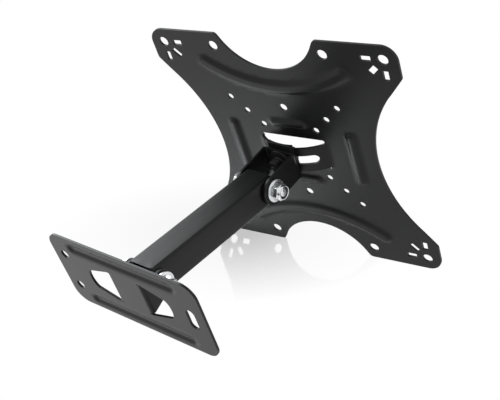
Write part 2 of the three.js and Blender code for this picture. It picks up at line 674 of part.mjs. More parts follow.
function build() {
  const base = new THREE.Group();
  base.name = "tv_wall_mount";
  place(base, "wall_plate", "coated", wallPlate());

  const wallPivot = new THREE.Group();
  wallPivot.position.set(0, WALL_PIVOT_Y, 0);
  base.add(wallPivot);
  placeSwivelFasteners(wallPivot, "wall_swivel", EAR_OUTER);

  const arm = armGroup();
  arm.rotation.z = THREE.MathUtils.degToRad(WALL_SWIVEL_REST);
  wallPivot.add(arm);

  const yokeGroup = new THREE.Group();
  yokeGroup.position.set(0, -ARM_LENGTH, 0);
  yokeGroup.rotation.z = THREE.MathUtils.degToRad(TV_SWIVEL_REST);
  arm.add(yokeGroup);
  place(yokeGroup, "yoke", "coated", yoke());
  placeSwivelFasteners(yokeGroup, "tv_swivel", YOKE_OUTER);

  const clamp = clampGroup();
  clamp.position.set(0, -PIVOT_FROM_TILT_AXIS, 0);
  yokeGroup.add(clamp);

  const screen = new THREE.Group();
  screen.rotation.x = THREE.MathUtils.degToRad(TILT_REST);
  clamp.add(screen);
  place(screen, "screen_plate", "coated", screenPlate());
  return base;
}

export default build();
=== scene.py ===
"""Single-arm television wall mount: finishes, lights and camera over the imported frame, in metres."""

import json
import math

import bmesh
import bpy
import numpy as np
from mathutils import Matrix, Vector
from mathutils.geometry import delaunay_2d_cdt


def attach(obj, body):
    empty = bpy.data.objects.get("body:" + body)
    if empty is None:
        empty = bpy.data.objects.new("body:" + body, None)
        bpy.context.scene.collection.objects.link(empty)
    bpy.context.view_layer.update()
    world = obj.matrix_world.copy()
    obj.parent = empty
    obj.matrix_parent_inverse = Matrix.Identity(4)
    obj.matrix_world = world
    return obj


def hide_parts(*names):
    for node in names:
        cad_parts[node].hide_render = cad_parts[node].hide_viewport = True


# Camera, as a place, a viewing direction and the direction that is up in the picture
CAMERA_PLACE = Vector((-0.4487, 0.2554, -0.4691))
CAMERA_FORWARD = Vector((0.6115, -0.5054, 0.6088))
CAMERA_UP = Vector((-0.7456, -0.6256, 0.2295))
LENS_MM = 69.4
SENSOR_MM = 36.0

# Rest angles of the joints, in degrees
WALL_SWIVEL_REST = 8.4
TV_SWIVEL_REST = -9.2
TILT_REST = -6.5

# The table top that the mount lies on: its normal and its distance along it
TABLE_NORMAL = Vector((-0.9082, -0.4157, 0.0488))
TABLE_OFFSET = -0.0361
TABLE_HALF = 3.0
LOWEST_CORNER = (0.12, -0.18, 0.10)


# ---- node helpers ----

class Nodes:
    """A small builder for one material's node tree."""

    def __init__(self, name):
        self.material = bpy.data.materials.new(name)
        self.material.use_nodes = True
        self.tree = self.material.node_tree
        self.shader = self.tree.nodes["Principled BSDF"]
        self.output = self.tree.nodes["Material Output"]

    def add(self, kind, **settings):
        node = self.tree.nodes.new(kind)
        for key, value in settings.items():
            if hasattr(node, key):
                setattr(node, key, value)
            else:
                node.inputs[key.replace("_", " ")].default_value = value
        return node

    def link(self, source, target):
        self.tree.links.new(source, target)

    def coordinates(self):
        return self.add("ShaderNodeTexCoord").outputs["Object"]

    def noise(self, scale, detail=3.0, roughness=0.55, source=None):
        node = self.add("ShaderNodeTexNoise")
        node.inputs["Scale"].default_value = scale
        node.inputs["Detail"].default_value = detail
        node.inputs["Roughness"].default_value = roughness
        self.link(source or self.coordinates(), node.inputs["Vector"])
        return node.outputs["Fac"]

    def ramp(self, value, stops):
        node = self.add("ShaderNodeValToRGB")
        while len(node.color_ramp.elements) < len(stops):
            node.color_ramp.elements.new(0.5)
        for element, (place, colour) in zip(node.color_ramp.elements, stops):
            element.position = place
            element.color = colour
        self.link(value, node.inputs["Fac"])
        return node.outputs["Color"]

    def span(self, value, low, high):
        node = self.add("ShaderNodeMapRange")
        node.inputs["To Min"].default_value = low
        node.inputs["To Max"].default_value = high
        self.link(value, node.inputs["Value"])
        return node.outputs["Result"]

    def bump(self, height, strength, distance, below=None):
        node = self.add("ShaderNodeBump")
        node.inputs["Strength"].default_value = strength
        node.inputs["Distance"].default_value = distance
        self.link(height, node.inputs["Height"])
        if below is not None:
            self.link(below, node.inputs["Normal"])
        return node.outputs["Normal"]


def grey(level, tint=(1.0, 1.0, 1.0)):
    return (level * tint[0], level * tint[1], level * tint[2], 1.0)


def powder_coat(name, level, tint, roughness):
    """Fine sand-texture powder coat: tiny grains and faint clouding."""
    n = Nodes(name)
    clouds = n.noise(35.0, 4.0, 0.6)
    grains = n.noise(2600.0, 2.0, 0.5)
    n.link(n.ramp(clouds, [(0.3, grey(level * 0.9, tint)), (0.7, grey(level * 1.12, tint))]),
           n.shader.inputs["Base Color"])
    n.link(n.span(grains, roughness - 0.05, roughness + 0.07), n.shader.inputs["Roughness"])
    n.link(n.bump(grains, 0.22, 0.00008), n.shader.inputs["Normal"])
    n.shader.inputs["Metallic"].default_value = 0.0
    n.shader.inputs["Specular IOR Level"].default_value = 0.22
    return n.material


def zinc_plate(name):
    """Bright zinc: cool metal with faint turning lines and clouded roughness."""
    n = Nodes(name)
    clouds = n.noise(220.0, 3.0, 0.6)
    lines = n.noise(1500.0, 2.0, 0.5)
    n.link(n.ramp(clouds, [(0.3, grey(0.62, (0.97, 1.0, 1.03))), (0.7, grey(0.82, (0.98, 1.0, 1.01)))]),
           n.shader.inputs["Base Color"])
    n.link(n.span(clouds, 0.16, 0.34), n.shader.inputs["Roughness"])
    n.link(n.bump(lines, 0.12, 0.00006), n.shader.inputs["Normal"])
    n.shader.inputs["Metallic"].default_value = 1.0
    return n.material


def black_oxide(name):
    n = Nodes(name)
    clouds = n.noise(260.0, 3.0, 0.6)
    n.link(n.ramp(clouds, [(0.3, grey(0.012)), (0.75, grey(0.03, (1.0, 1.0, 1.05)))]),
           n.shader.inputs["Base Color"])
    n.link(n.span(clouds, 0.3, 0.5), n.shader.inputs["Roughness"])
    n.link(n.bump(n.noise(1800.0), 0.1, 0.00005), n.shader.inputs["Normal"])
    n.shader.inputs["Metallic"].default_value = 0.6
    return n.material


def black_nylon(name):
    n = Nodes(name)
    clouds = n.noise(300.0, 3.0, 0.6)
    n.link(n.ramp(clouds, [(0.3, grey(0.018)), (0.7, grey(0.03))]), n.shader.inputs["Base Color"])
    n.link(n.span(clouds, 0.45, 0.6), n.shader.inputs["Roughness"])
    n.link(n.bump(n.noise(900.0), 0.08, 0.00005), n.shader.inputs["Normal"])
    return n.material


# ---- mesh helpers: all sizes in millimetres, in the frame of the body that carries the piece ----

def joint(name):
    return next(j for j in frame["joints"] if j["name"] == name)


def turned_frame(place, *turns):
    """A body's frame at rest: its origin in metres, and turns as (degrees, axis)."""
    matrix = Matrix.Translation(Vector(place))
    for degrees, axis in turns:
        matrix = matrix @ Matrix.Rotation(math.radians(degrees), 4, axis)
    return matrix @ Matrix.Scale(0.001, 4)


def arc(cx, cy, radius, start, end, steps):
    """Points on a circle from start to end, in degrees."""
    points = []
    for i in range(steps + 1):
        angle = math.radians(start + (end - start) * i / steps)
        points.append((cx + radius * math.cos(angle), cy + radius * math.sin(angle)))
    return points


def circle(cx, cy, radius, count=40):
    return arc(cx, cy, radius, 0, 360, count)[:count]


def slot(cx, cy, half_length, radius, turn=0.0, steps=12):
    reach = half_length - radius
    outline = arc(reach, 0, radius, -90, 90, steps) + arc(-reach, 0, radius, 90, 270, steps)
    c, s = math.cos(math.radians(turn)), math.sin(math.radians(turn))
    return [(cx + x * c - y * s, cy + x * s + y * c) for x, y in outline]


def rounded_rectangle(half_x, half_y, corner, steps=12):
    points = []
    for k, (sx, sy) in enumerate([(1, 1), (-1, 1), (-1, -1), (1, -1)]):
        centre = (sx * (half_x - corner), sy * (half_y - corner))
        points += arc(centre[0], centre[1], corner, 90 * k, 90 * k + 90, steps)
    return points


def inside(loop, x, y):
    """Which of the points x, y lie inside a closed loop."""
    result = np.zeros(len(x), dtype=bool)
    for (x0, y0), (x1, y1) in zip(loop, loop[1:] + loop[:1]):
        if y0 == y1:
            continue
        crosses = (y0 > y) != (y1 > y)
        result ^= crosses & (x < x0 + (x1 - x0) * (y - y0) / (y1 - y0))
    return result


def densify(loop, step):
    """The same loop with its long edges divided."""
    points = []
    for (x0, y0), (x1, y1) in zip(loop, loop[1:] + loop[:1]):
        pieces = max(1, int(math.ceil(math.hypot(x1 - x0, y1 - y0) / step)))
        points += [(x0 + (x1 - x0) * i / pieces, y0 + (y1 - y0) * i / pieces) for i in range(pieces)]
    return points


def grid_points(low, high, step):
    count = [max(2, int(round((high[k] - low[k]) / step)) + 1) for k in (0, 1)]
    xs = np.linspace(low[0], high[0], count[0])
    ys = np.linspace(low[1], high[1], count[1])
    gx, gy = np.meshgrid(xs, ys)
    return gx.ravel(), gy.ravel()


def clearance(x, y, loops):
    """Distance from each point to the nearest vertex of the loops."""
    corners = np.array([p for loop in loops for p in loop])
    nearest = np.full(len(x), 1e9)
    for start in range(0, len(corners), 200):
        part = corners[start:start + 200]
        gap = np.hypot(x[:, None] - part[None, :, 0], y[:, None] - part[None, :, 1])
        nearest = np.minimum(nearest, gap.min(axis=1))
    return nearest


def flat_sheet(outline, holes, step, extra=()):
    """Triangles of a flat blank with holes. Returns 2-D points and faces."""
    loops = [densify(outline, step)] + [densify(hole, step) for hole in holes]
    xs, ys = [p[0] for p in outline], [p[1] for p in outline]
    gx, gy = grid_points((min(xs), min(ys)), (max(xs), max(ys)), step)
    keep = inside(outline, gx, gy) & (clearance(gx, gy, loops) > 0.55 * step)
    for hole in holes:
        keep &= ~inside(hole, gx, gy)
    if len(extra):
        ex, ey = np.array([p[0] for p in extra]), np.array([p[1] for p in extra])
        good = inside(outline, ex, ey) & (clearance(ex, ey, loops) > 0.35)
        for hole in holes:
            good &= ~inside(hole, ex, ey)
        extra = list(zip(ex[good], ey[good]))
        keep &= clearance(gx, gy, [extra]) > 0.5 * step
    points, edges = [], []
    for loop in loops:
        first = len(points)
        points += loop
        edges += [(first + i, first + (i + 1) % len(loop)) for i in range(len(loop))]
    points += list(zip(gx[keep], gy[keep])) + list(extra)
    flat = [Vector((float(x), float(y))) for x, y in points]
    verts, _, faces, *_ = delaunay_2d_cdt(flat, edges, [], 0, 1e-5)
    centres = np.array([sum((verts[i] for i in f), Vector((0, 0))) / len(f) for f in faces])
    inner = inside(loops[0], centres[:, 0], centres[:, 1])
    for loop in loops[1:]:
        inner &= ~inside(loop, centres[:, 0], centres[:, 1])
    return [(v.x, v.y) for v in verts], [f for f, good in zip(faces, inner) if good]


def make_piece(name, verts, faces, matrix, body, nodes, material_slot, sharp=32.0):
    """A mesh piece that stands for CAD nodes and rides on a body."""
    mesh = bpy.data.meshes.new(name)
    mesh.from_pydata([matrix @ Vector(v) for v in verts], [], faces)
    work = bmesh.new()
    work.from_mesh(mesh)
    bmesh.ops.remove_doubles(work, verts=work.verts, dist=2e-6)
    bmesh.ops.recalc_face_normals(work, faces=work.faces)
    work.to_mesh(mesh)
    work.free()
    mesh.polygons.foreach_set("use_smooth", [True] * len(mesh.polygons))
    mesh.set_sharp_from_angle(angle=math.radians(sharp))
    mesh.materials.append(FINISHES[material_slot])
    obj = bpy.data.objects.new(name, mesh)
    bpy.context.scene.collection.objects.link(obj)
    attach(obj, body)
    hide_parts(*nodes)
    return obj


def thicken(obj, thickness, edge=0.3):
    """Gives a middle surface its sheet thickness and rounds its cut edges."""
    solid = obj.modifiers.new("sheet", "SOLIDIFY")
    solid.thickness = thickness * 0.001
    solid.offset = 0.0
    solid.use_even_offset = True
    bevel = obj.modifiers.new("cut_edges", "BEVEL")
    bevel.width = edge * 0.001
    bevel.segments = 2
    bevel.limit_method = "ANGLE"
    bevel.angle_limit = math.radians(50)
    bevel.harden_normals = True


def rings_mesh(rings, closed):
    """Skins a list of equal rings; closed joins the last ring to the first."""
    count = len(rings[0])
    verts = [p for ring in rings for p in ring]
    faces = []
    spans = len(rings) if closed else len(rings) - 1
    for k in range(spans):
        low, high = k * count, ((k + 1) % len(rings)) * count
        for i in range(count):
            j = (i + 1) % count
            faces.append((low + i, low + j, high + j, high + i))
    return verts, faces


def turned(profile, count=64, closed=True):
    """Rings about Z from (radius, z) pairs. A radius or a height may be a function of the angle."""
    rings = []
    for radius, height in profile:
        ring = []
        for i in range(count):
            angle = 2 * math.pi * i / count
            r = radius(angle) if callable(radius) else radius
            z = height(angle, r) if callable(height) else height
            ring.append((r * math.cos(angle), r * math.sin(angle), z))
        rings.append(ring)
    return rings_mesh(rings, closed)


def hex_radius(across_flats):
    """Radius of a hexagon with slightly rounded corners, as a function of the angle."""
    def radius(angle):
        from_flat = (angle + math.pi / 6) % (math.pi / 3) - math.pi / 6
        return min(across_flats / 2 / math.cos(from_flat), across_flats / math.sqrt(3) - 0.12)
    return radius


def hex_profile(across_flats, low, high, inner=0.01, low_inner=None):
    """A hexagon's section with both rims turned to a 30 degree chamfer."""
    seat = across_flats / 2 - 0.35
    slope = math.tan(math.radians(30))
    outer = hex_radius(across_flats)
    return [
        (inner if low_inner is None else low_inner, low),
        (seat, low),
        (outer, lambda a, r: low + (r - seat) * slope),
        (outer, lambda a, r: high - (r - seat) * slope),
        (seat, high),
        (inner, high),
    ]


def rounded_ring(inner, outer, low, high, edge=0.25):
    """Section of a washer with rounded rims."""
    e = edge
    return [(inner, low + e), (inner + e, low), (outer - e, low), (outer - e * 0.3, low + e * 0.3),
            (outer, low + e), (outer, high - e), (outer - e * 0.3, high - e * 0.3), (outer - e, high),
            (inner + e, high), (inner, high - e)]


def threaded_rod(radius, tip, shoulder, thread_end, pitch, count=48):
    """A shank along Z whose lower end, from tip to thread_end, carries a screw thread."""
    depth = 0.55 * pitch
    rows = max(4, int((thread_end - tip) / pitch * 8))
    rings = [[(0.01 * math.cos(2 * math.pi * i / count), 0.01 * math.sin(2 * math.pi * i / count), tip)
              for i in range(count)]]
    for row in range(rows + 1):
        z = tip + (thread_end - tip) * row / rows
        ring = []
        for i in range(count):
            angle = 2 * math.pi * i / count
            wave = abs(((z / pitch - i / count) % 1.0) * 2 - 1)
            lead = min(1.0, (z - tip) / 1.2)
            r = radius - depth * (1 - wave) * 0.9 - (1 - lead) * 1.0
            ring.append((r * math.cos(angle), r * math.sin(angle), z))
        rings.append(ring)
    for z in (thread_end + 0.3, shoulder):
        turns = [2 * math.pi * i / count for i in range(count)]
        rings.append([(radius * math.cos(angle), radius * math.sin(angle), z) for angle in turns])
    return rings_mesh(rings, False)


def joined(*parts):
    verts, faces = [], []
    for part_verts, part_faces in parts:
        base = len(verts)
        verts += part_verts
        faces += [tuple(base + i for i in f) for f in part_faces]
    return verts, faces


def flipped(part):
    """The same piece turned over, from +Z to -Z."""
    verts, faces = part
    return [(x, -y, -z) for x, y, z in verts], faces


def moved(part, offset):
    verts, faces = part
    return [(x + offset[0], y + offset[1], z + offset[2]) for x, y, z in verts], faces


# ---- fastener sizes, in millimetres ----

BOLT_RADIUS = 4.0
BORE = 4.3
THREAD_PITCH = 1.25
HEX_ACROSS_FLATS = 13.0
HEAD_HEIGHT = 5.3
WASHER_RADIUS = 9.6
WASHER_THICKNESS = 1.6
PLAY = 0.25
NUT_HEX_HEIGHT = 5.5
NUT_COLLAR_HEIGHT = 2.5
TILT_WASHER_RADIUS = 12.0
SPRING_THICKNESS = 2.0
TILT_NUT_HEIGHT = 6.5

# Outside faces of the ears, and the nylon discs against the tube
WALL_EAR_FACE = 17.2
YOKE_EAR_FACE = 15.6
WALL_DISC = 2.2
TV_DISC = 0.6


# ---- screen plate ----

SCREEN_SHEET = 2.0
SCREEN_MIDDLE = 35.0
BRIDGE_MIDDLE_RADIUS = 46.5
RIB_HEIGHT = 2.2
CRESCENT_RADIUS = 117.0
CRESCENT_CENTRE = 182.0
CRESCENT_SPREAD = math.degrees(math.asin(64.0 / 117.0))


def fillet(before, corner, after, radius, steps=8):
    """Points of a round that replaces a corner between two straight runs."""
    a, b = Vector(before) - Vector(corner), Vector(after) - Vector(corner)
    half = a.angle(b) / 2
    bisector = (a.normalized() + b.normalized()).normalized()
    centre = Vector(corner) + bisector * (radius / math.sin(half))
    start = Vector(corner) + a.normalized() * (radius / math.tan(half)) - centre
    end = Vector(corner) + b.normalized() * (radius / math.tan(half)) - centre
    first = math.degrees(math.atan2(start.y, start.x))
    sweep = (math.degrees(math.atan2(end.y, end.x)) - first + 180) % 360 - 180
    return arc(centre.x, centre.y, radius, first, first + sweep, steps)


def screen_outline():
    """The notched outline in the plate's plane, from one quarter mirrored twice."""
    sweep = math.degrees(math.acos(16.5 / 47.0))
    end_notch = arc(128.5, 0, 47.0, 180, 180 - sweep + 6, 30)
    start = math.degrees(math.asin(70.0 / 107.0))
    side_notch = arc(0, 182.0, 107.0, -90 + start, -90, 40)
    quarter = end_notch + fillet(end_notch[-1], (112.0, 44.6), (112.0, 60.0), 4.0)
    quarter += arc(99.0, 99.0, 13.0, 0, 90, 16)
    quarter += fillet((99.0, 112.0), (84.0, 112.0), side_notch[0], 4.0) + side_notch
    left = [(-x, z) for x, z in reversed(quarter)][1:]
    upper = quarter + left
    lower = [(x, -z) for x, z in reversed(upper)]
    return upper + lower[1:-1]


def rectangular_hole(cx, cz, turn):
    c, s = math.cos(math.radians(turn)), math.sin(math.radians(turn))
    return [(cx + x * c - z * s, cz + x * s + z * c) for x, z in rounded_rectangle(4.25, 2.35, 0.4, 3)]


def screen_holes():
    holes = []
    for sx in (-1, 1):
        holes.append(circle(sx * 45.0, 0, 3.5))
        for sz in (-1, 1):
            holes.append(circle(sx * 100, sz * 100, 4.35))
            holes.append(circle(sx * 100, sz * 50, 4.35))
            holes += [circle(sx * at, sz * at, 2.85, 32) for at in (50.0, 37.5, 25.0)]
            holes.append(rectangular_hole(sx * 100, sz * 86, 90))
            holes.append(rectangular_hole(sx * 86, sz * 100, 0))
            holes.append(rectangular_hole(sx * 90, sz * 90, 45 * sx * sz))
    for side in (-1, 1):
        holes.append(slot(side * 13.75, 0, 30.0, 1.72, 90, 8))
    holes.append(slot(0, 0, 24.0, 4.4, 90, 16))
    return holes


def crescent_distance(x, z):
    """Distance to the nearer bent rib's centre line."""
    across, along = CRESCENT_CENTRE - np.abs(x), z
    angle = np.degrees(np.arctan2(along, across))
    held = np.radians(np.clip(angle, -CRESCENT_SPREAD, CRESCENT_SPREAD))
    return np.hypot(across - CRESCENT_RADIUS * np.cos(held), along - CRESCENT_RADIUS * np.sin(held))


def straight_distance(across, along, reach):
    return np.hypot(across, along - np.clip(along, -reach, reach))


def bead(distance, top, foot, height):
    """Height of a pressed bead with a flat top and a smooth flank."""
    t = np.clip((foot - distance) / (foot - top), 0, 1)
    return height * t * t * (3 - 2 * t)


def screen_lift(x, z):
    lift = bead(crescent_distance(x, z), 2.6, 6.6, RIB_HEIGHT)
    lift = np.maximum(lift, bead(straight_distance(np.abs(z) - 56.0, x, 22.5), 1.2, 4.8, RIB_HEIGHT))
    lift = np.maximum(lift, bead(straight_distance(np.abs(x) - 29.0, z, 13.5), 0.9, 4.2, RIB_HEIGHT))
    arch = np.sqrt(np.maximum(BRIDGE_MIDDLE_RADIUS ** 2 - z * z, 0)) - SCREEN_MIDDLE
    on_bridge = (np.abs(x) < 12.2) & (np.abs(z) < 32)
    return np.where(on_bridge, np.maximum(arch, 0), lift)


def crescent_points():
    points = []
    for offset in (0.0, 1.5, 2.6, 3.6, 4.6, 5.6, 6.6):
        for side in (-1, 1):
            for sign in ((-1, 1) if offset else (1,)):
                ring = arc(CRESCENT_CENTRE, 0, CRESCENT_RADIUS + sign * offset,
                           180 - CRESCENT_SPREAD, 180 + CRESCENT_SPREAD, 44)
                points += [(side * x, z) for x, z in ring]
            for end in (-1, 1):
                angle = math.radians(180 + end * CRESCENT_SPREAD)
                cx = CRESCENT_CENTRE + CRESCENT_RADIUS * math.cos(angle)
                cz = CRESCENT_RADIUS * math.sin(angle)
                turn = 90 if end > 0 else -90
                if offset:
                    heading = math.degrees(angle) + turn
                    cap = arc(cx, cz, offset, heading - 80, heading + 80, 8)
                    points += [(side * x, z) for x, z in cap]
    return points


def straight_points(cx, cz, reach, foot, turn):
    points = []
    for offset in (0.0, 0.33, 0.55, 0.75, 1.0):
        spread = offset * foot
        ring = slot(cx, cz, reach + max(spread, 0.05), max(spread, 0.04), turn, 6)
        points += densify(ring, 1.8)
    return points


def bridge_points():
    points = []
    for row in np.linspace(-31.5, 31.5, 43):
        points += [(x, row) for x in (-11, -8.6, -6.4, 0, 6.4, 8.6, 11) if abs(x) > 5 or abs(row) > 26]
    return points


def add_screen_plate():
    extra = crescent_points() + bridge_points()
    for side in (-1, 1):
        extra += straight_points(0, side * 56.0, 22.5, 4.8, 0)
        extra += straight_points(side * 29.0, 0, 13.5, 4.2, 90)
    flat, faces = flat_sheet(screen_outline(), screen_holes(), 3.2, extra)
    x, z = np.array([p[0] for p in flat]), np.array([p[1] for p in flat])
    y = SCREEN_MIDDLE + screen_lift(x, z)
    verts = [(float(a), float(b), float(c)) for a, b, c in zip(x, y, z)]
    obj = make_piece("screen_plate_sheet", verts, faces, SCREEN, "screen", ["screen_plate"], "coated", 60)
    thicken(obj, SCREEN_SHEET, 0.25)


# ---- wall plate ----

WALL_SHEET = 2.0
WALL_EAR_INNER = 15.2
WALL_PIVOT_FROM_FACE = 18.0
TAB_START = 13.7
TAB_HALF = 14.6


def wall_window(side):
    points = [(-15.0, TAB_START), (-15.0, 17.7), (-9.5, 37.0)]
    for degrees in range(170, 0, -10):
        angle = math.radians(degrees)
        points.append((9.5 * math.cos(angle), 37.0 + 5.0 * math.sin(angle)))
    points += [(9.5, 37.0), (15.0, 17.7), (15.0, TAB_START)]
    points += [(x, TAB_START) for x in np.linspace(TAB_HALF, -TAB_HALF, 13)]
    return [(float(x), float(z) * side) for x, z in points]


def wall_groove(x, z):
    return bead(straight_distance(np.abs(x) - 26.5, z, 50.0), 1.6, 5.6, 1.8)


def plate_sheet():
    holes = [wall_window(1), wall_window(-1), slot(0, -61.5, 9.5, 4.0, 0)]
    holes += [circle(side * 16.2, 63.0, 4.0) for side in (-1, 1)]
    extra = []
    for side in (-1, 1):
        extra += straight_points(side * 26.5, 0, 50.0, 5.6, 90)
    flat, faces = flat_sheet(rounded_rectangle(35.5, 75.0, 12.0), holes, 3.0, extra)
    x, z = np.array([p[0] for p in flat]), np.array([p[1] for p in flat])
    y = -WALL_SHEET / 2 - wall_groove(x, z)
    return [(float(a), float(b), float(c)) for a, b, c in zip(x, y, z)], faces


def tab_sheet():
    """One ear: a flat tab that is bent square out of the plate, as (x, distance along the tab)."""
    bend_z, bend_y, bend_radius = WALL_EAR_INNER - 0.8, -WALL_SHEET - 0.8, 1.8
    flat_length = bend_z - TAB_START
    bend_length = math.pi / 2 * bend_radius
    root = flat_length + bend_length
    bolt = root + WALL_PIVOT_FROM_FACE + bend_y
    side = [(TAB_HALF, 0.0), (TAB_HALF, root)]
    tip = arc(0, bolt, 9.5, 36, 144, 24)
    base = [(float(x), 0.0) for x in np.linspace(-TAB_HALF, TAB_HALF, 13)][1:-1]
    outline = side + tip + [(-x, s) for x, s in reversed(side)] + base
    across = [float(x) for x in np.linspace(-13, 13, 11)]
    extra = [(x, flat_length + bend_length * k / 8) for x in across for k in range(9)]
    flat, faces = flat_sheet(outline, [circle(0, bolt, BORE)], 3.0, extra)
    verts = []
    for x, s in flat:
        if s <= flat_length:
            verts.append((x, -WALL_SHEET / 2, TAB_START + s))
        elif s <= root:
            angle = (s - flat_length) / bend_radius
            y = bend_y + bend_radius * math.cos(angle)
            verts.append((x, y, bend_z + bend_radius * math.sin(angle)))
        else:
            verts.append((x, bend_y - (s - root), bend_z + bend_radius))
    return verts, faces


def add_wall_plate():
    tab = tab_sheet()
    other = [(x, y, -z) for x, y, z in tab[0]], tab[1]
    verts, faces = joined(plate_sheet(), tab, other)
    obj = make_piece("wall_plate_sheet", verts, faces, WALL, "base", ["wall_plate"], "coated", 60)
    thicken(obj, WALL_SHEET, 0.35)


# ---- arm tube ----

TUBE_MIDDLE_HALF = 11.6
TUBE_MIDDLE_CORNER = 1.6
TUBE_WALL = 1.8
ARM_LENGTH = 132.0


def tube_point(s):
    """Distance round the tube's middle line to a point in its section, from the middle of the -X side."""
    straight = 2 * (TUBE_MIDDLE_HALF - TUBE_MIDDLE_CORNER)
    corner = math.pi / 2 * TUBE_MIDDLE_CORNER
    s = s + straight / 2
    turns = math.floor(s / (straight + corner))
    s -= turns * (straight + corner)
    if s <= straight:
        x, z = -TUBE_MIDDLE_HALF, s - straight / 2
    else:
        angle = (s - straight) / TUBE_MIDDLE_CORNER
        x = -TUBE_MIDDLE_HALF + TUBE_MIDDLE_CORNER * (1 - math.cos(angle))
        z = straight / 2 + TUBE_MIDDLE_CORNER * math.sin(angle)
    for _ in range(turns % 4):
        x, z = z, -x
    return x, z


def tube_end():
    """The end cut as (distance round, distance past the bolt): two round lobes, straight between."""
    straight = 2 * (TUBE_MIDDLE_HALF - TUBE_MIDDLE_CORNER)
    side = straight + math.pi / 2 * TUBE_MIDDLE_CORNER
    points = [(-2 * side, 2.0)]
    for centre in (-side, side):
        points.append((centre - 10.4, 2.0))
        points += [(centre + x, math.sqrt(12.4 ** 2 - x * x)) for x in np.linspace(-10.4, 10.4, 25)]
        points.append((centre + 10.4, 2.0))
    points.append((2 * side, 2.0))
    return [(float(s), float(y)) for s, y in points], side


def add_arm_tube():
    end, side = tube_end()
    seam = [(2 * side, float(y)) for y in np.linspace(0, -ARM_LENGTH, 23)]
    far = [(s, -ARM_LENGTH - y) for s, y in reversed(end)]
    outline = end + seam + far + [(-s, y) for s, y in reversed(seam)]
    holes = [circle(centre, y, BORE) for centre in (-side, side) for y in (0, -ARM_LENGTH)]
    corner = math.pi / 2 * TUBE_MIDDLE_CORNER
    extra = []
    for k in (-1.5, -0.5, 0.5, 1.5):
        for step in np.linspace(-0.5, 0.5, 7):
            extra += [(k * side + step * corner, float(y)) for y in np.linspace(1.0, -ARM_LENGTH - 1.0, 60)]
    flat, faces = flat_sheet(outline, holes, 6.0, extra)
    verts = []
    for s, y in flat:
        x, z = tube_point(s)
        verts.append((x, y, z))
    obj = make_piece("arm_tube_shell", verts, faces, ARM, "arm", ["arm_tube"], "coated", 60)
    thicken(obj, TUBE_WALL, 0.25)


# ---- yoke ----

YOKE_SHEET = 2.0
YOKE_OUTER = 15.6
YOKE_WEB = -33.0
YOKE_BEND = 2.0


def add_yoke():
    """A strip bent to a U: (x, distance along the strip from the middle of the web)."""
    ear_z = YOKE_OUTER - YOKE_SHEET / 2
    web_y = YOKE_WEB + YOKE_SHEET / 2
    web_half = ear_z - YOKE_BEND
    bend_length = math.pi / 2 * YOKE_BEND
    root = web_half + bend_length
    bolt = root - (web_y + YOKE_BEND)
    half = [(11.6, 0.0), (11.6, web_half), (12.5, root)] + arc(0, bolt, 12.5, 0, 90, 20)
    upper = half + [(-x, s) for x, s in reversed(half)][1:]
    lower = [(x, -s) for x, s in reversed(upper)]
    outline = upper[:-1] + lower[:-1]
    holes = [circle(0, at, BORE) for at in (-bolt, 0, bolt)]
    extra = []
    for side in (-1, 1):
        for k in range(9):
            extra += [(float(x), side * (web_half + bend_length * k / 8)) for x in np.linspace(-12, 12, 10)]
    flat, faces = flat_sheet(outline, holes, 3.0, extra)
    verts = []
    for x, s in flat:
        side, reach = (1, s) if s >= 0 else (-1, -s)
        if reach <= web_half:
            verts.append((x, web_y, s))
        elif reach <= root:
            angle = (reach - web_half) / YOKE_BEND
            y = web_y + YOKE_BEND * (1 - math.cos(angle))
            verts.append((x, y, side * (web_half + YOKE_BEND * math.sin(angle))))
        else:
            verts.append((x, web_y + YOKE_BEND + reach - root, side * ear_z))
    obj = make_piece("yoke_strip", verts, faces, YOKE, "yoke", ["yoke"], "coated", 60)
    thicken(obj, YOKE_SHEET, 0.35)


# ---- tilt clamp ----

def add_block(name, profile, half_width, nodes, material_slot, edge):
    """A solid with one section in the (y, z) plane, along X, with rounded edges."""
    count = len(profile)
    verts = [(-half_width, y, z) for y, z in profile] + [(half_width, y, z) for y, z in profile]
    faces = [(i, (i + 1) % count, count + (i + 1) % count, count + i) for i in range(count)]
    faces += [tuple(range(count)), tuple(reversed(range(count, 2 * count)))]
    obj = make_piece(name, verts, faces, CLAMP, "clamp", nodes, material_slot, 40)
    bevel = obj.modifiers.new("edges", "BEVEL")
    bevel.width = edge * 0.001
    bevel.segments = 3
    bevel.limit_method = "ANGLE"
    bevel.angle_limit = math.radians(35)
    bevel.harden_normals = True
    return obj


def add_clamp():
    inner = 47.75
    reach = math.degrees(math.asin(12.3 / inner))
    saddle = arc(0, 0, inner, reach, -reach, 24) + [(49.75, -12.3), (49.75, 12.3)]
    add_block("saddle_block", saddle, 17.0, ["saddle"], "coated", 0.6)
    outer = 45.25
    reach = math.degrees(math.asin(10.0 / outer))
    seat = outer * math.cos(math.radians(reach)) - 2.0
    washer = arc(0, 0, outer, -reach, reach, 24) + [(seat, 10.0), (seat, -10.0)]
    add_block("clamp_washer_block", washer, 11.0, ["clamp_washer"], "black_oxide", 0.4)
    add_tilt_fasteners(seat - 0.25)


def along_y(part):
    """Turns a piece made about Z so that it lies along Y."""
    verts, faces = part
    return [(x, z, -y) for x, y, z in verts], faces


